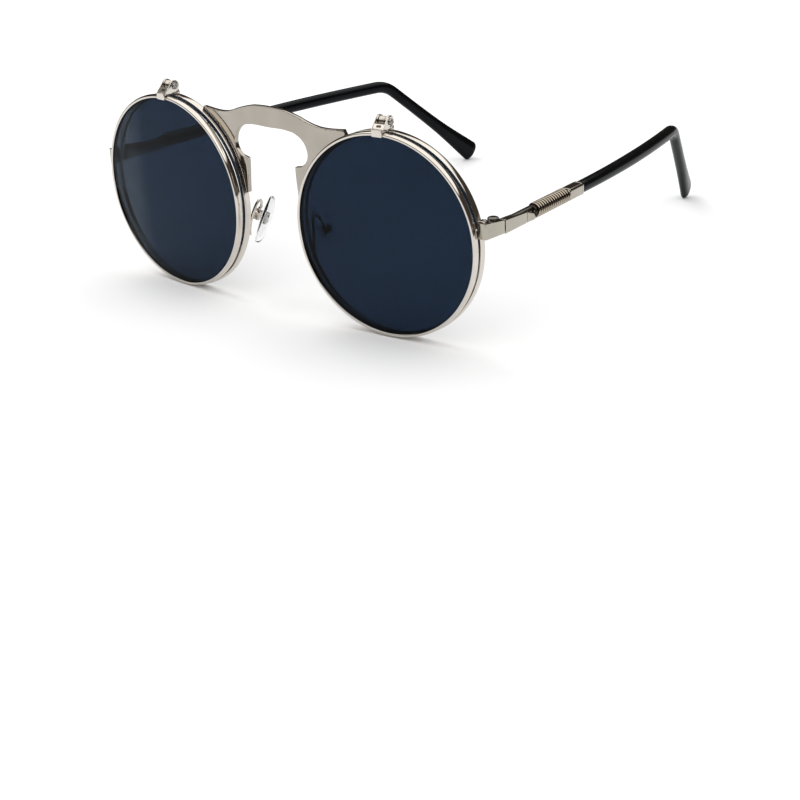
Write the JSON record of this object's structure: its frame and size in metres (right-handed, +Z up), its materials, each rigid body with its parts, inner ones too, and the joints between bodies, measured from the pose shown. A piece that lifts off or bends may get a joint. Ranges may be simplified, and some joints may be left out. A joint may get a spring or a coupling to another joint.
{
  "type": "flip-up round sunglasses",
  "caption": "Round clear-lens glasses with flip-up tinted lenses, a pierced keyhole bridge, coil-wound folding temples and rocking nose pads.",
  "frame": {"origin": "middle of the footprint, on the table", "axes": "+Z up, +X towards the wearer's left, +Y from the lenses back along the temples"},
  "size_m": [0.1272, 0.1398, 0.0547],
  "materials": {
    "metal": "polished nickel",
    "temple_tip": "gloss",
    "tinted_lens": "polished",
    "clear_lens": "polished",
    "nose_pad": "clear silicone"
  },
  "bodies": {
    "front": {"bridge_plate": "metal", "left_clear_lens": "clear_lens", "left_end_piece": "metal", "left_flip_base": "metal", "left_flip_pin": "metal", "left_flip_spring": "metal", "left_hinge_screw": "metal", "left_lock_lower": "metal", "left_lock_screw": "metal", "left_lock_upper": "metal", "left_main_rim": "metal", "left_pad_arm": "metal", "left_pad_box": "metal", "left_pad_screw": "metal", "right_clear_lens": "clear_lens", "right_end_piece": "metal", "right_flip_base": "metal", "right_flip_pin": "metal", "right_flip_spring": "metal", "right_hinge_screw": "metal", "right_lock_lower": "metal", "right_lock_screw": "metal", "right_lock_upper": "metal", "right_main_rim": "metal", "right_pad_arm": "metal", "right_pad_box": "metal", "right_pad_screw": "metal"},
    "left_temple": {"left_temple_bar": "metal", "left_temple_coil": "metal", "left_ferrule": "metal", "left_temple_tip": "temple_tip"},
    "left_flip": {"left_flip_bracket": "metal", "left_flip_rim": "metal", "left_tinted_lens": "tinted_lens"},
    "left_pad": {"left_nose_pad": "nose_pad"},
    "right_temple": {"right_temple_bar": "metal", "right_temple_coil": "metal", "right_ferrule": "metal", "right_temple_tip": "temple_tip"},
    "right_flip": {"right_flip_bracket": "metal", "right_flip_rim": "metal", "right_tinted_lens": "tinted_lens"},
    "right_pad": {"right_nose_pad": "nose_pad"}
  },
  "joints": [
    {"name": "left_temple_fold", "type": "hinge", "parent": "front", "child": "left_temple", "pos_m": [0.061, -0.05867, 0.0303], "axis": [0, 0, 1], "range_deg": [0, 81]},
    {"name": "left_flip_lift", "type": "hinge", "parent": "front", "child": "left_flip", "pos_m": [0.03508, -0.06497, 0.0532], "axis": [-0.9962, -0.0872, 0], "range_deg": [0, 100]},
    {"name": "left_pad_rock", "type": "hinge", "parent": "front", "child": "left_pad", "pos_m": [0.01163, -0.06092, 0.02171], "axis": [0.3814, 0.9063, 0.1819], "range_deg": [-8, 8]},
    {"name": "right_temple_fold", "type": "hinge", "parent": "front", "child": "right_temple", "pos_m": [-0.061, -0.05867, 0.0303], "axis": [0, 0, -1], "range_deg": [0, 67]},
    {"name": "right_flip_lift", "type": "hinge", "parent": "front", "child": "right_flip", "pos_m": [-0.03508, -0.06497, 0.0532], "axis": [-0.9962, 0.0872, 0], "range_deg": [0, 100]},
    {"name": "right_pad_rock", "type": "hinge", "parent": "front", "child": "right_pad", "pos_m": [-0.01163, -0.06092, 0.02171], "axis": [-0.3814, 0.9063, 0.1819], "range_deg": [-8, 8]}
  ]
}
